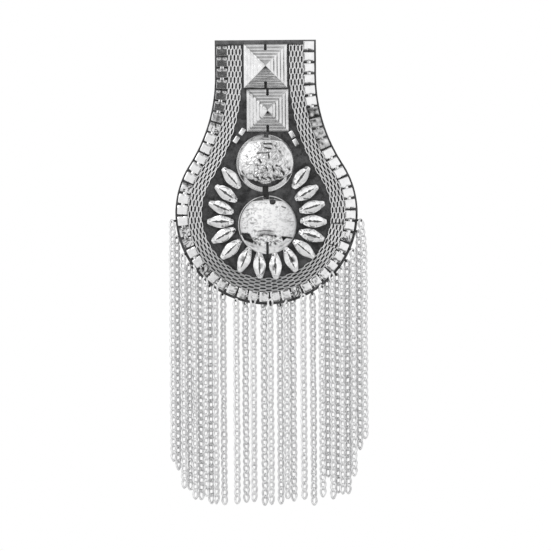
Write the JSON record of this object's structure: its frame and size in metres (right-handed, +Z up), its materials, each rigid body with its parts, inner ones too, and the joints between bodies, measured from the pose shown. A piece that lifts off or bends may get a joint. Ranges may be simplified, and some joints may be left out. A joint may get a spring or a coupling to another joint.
{
  "type": "shoulder epaulette",
  "caption": "Keyhole-shaped dark felt shoulder board with silver tile trim, net ribbon, round, square and pointed metal studs, and a long fringe of curb chains.",
  "frame": {"origin": "on the back face of the board, at the middle of the brooch pin", "axes": "+Z up along the board as it hangs, -Y towards the viewer of the studded front, +X right"},
  "size_m": [0.1066, 0.0124, 0.2516],
  "materials": {
    "felt": "dark grey wool felt",
    "tile_metal": "polished, slightly uneven",
    "mesh_metal": "satin",
    "stamped_metal": "polished ridges",
    "hammered_metal": "polished, hammered",
    "navette_metal": "polished",
    "bead_metal": "polished",
    "chain_metal": "bright",
    "pin_metal": "plain"
  },
  "bodies": {
    "root": {"board": "felt", "tile_chain": "tile_metal", "mesh_band": "mesh_metal", "pyramid_upper": "stamped_metal", "pyramid_lower": "stamped_metal", "dome_upper": "hammered_metal", "dome_lower": "hammered_metal", "navette_01": "navette_metal", "navette_02": "navette_metal", "navette_03": "navette_metal", "navette_04": "navette_metal", "navette_05": "navette_metal", "navette_06": "navette_metal", "navette_07": "navette_metal", "navette_08": "navette_metal", "navette_09": "navette_metal", "navette_10": "navette_metal", "navette_11": "navette_metal", "navette_12": "navette_metal", "navette_13": "navette_metal", "navette_14": "navette_metal", "navette_15": "navette_metal", "navette_16": "navette_metal", "bead_left_upper": "bead_metal", "bead_left_lower": "bead_metal", "bead_right_upper": "bead_metal", "bead_right_lower": "bead_metal", "chain_01": "chain_metal", "chain_02": "chain_metal", "chain_03": "chain_metal", "chain_04": "chain_metal", "chain_05": "chain_metal", "chain_06": "chain_metal", "chain_07": "chain_metal", "chain_08": "chain_metal", "chain_09": "chain_metal", "chain_10": "chain_metal", "chain_11": "chain_metal", "chain_12": "chain_metal", "chain_13": "chain_metal", "chain_14": "chain_metal", "chain_15": "chain_metal", "chain_16": "chain_metal", "chain_17": "chain_metal", "chain_18": "chain_metal", "chain_19": "chain_metal", "chain_20": "chain_metal", "chain_21": "chain_metal", "chain_22": "chain_metal", "chain_23": "chain_metal", "chain_24": "chain_metal", "chain_25": "chain_metal", "chain_26": "chain_metal", "chain_27": "chain_metal", "chain_28": "chain_metal", "chain_29": "chain_metal", "brooch_pin": "pin_metal"}
  },
  "joints": []
}
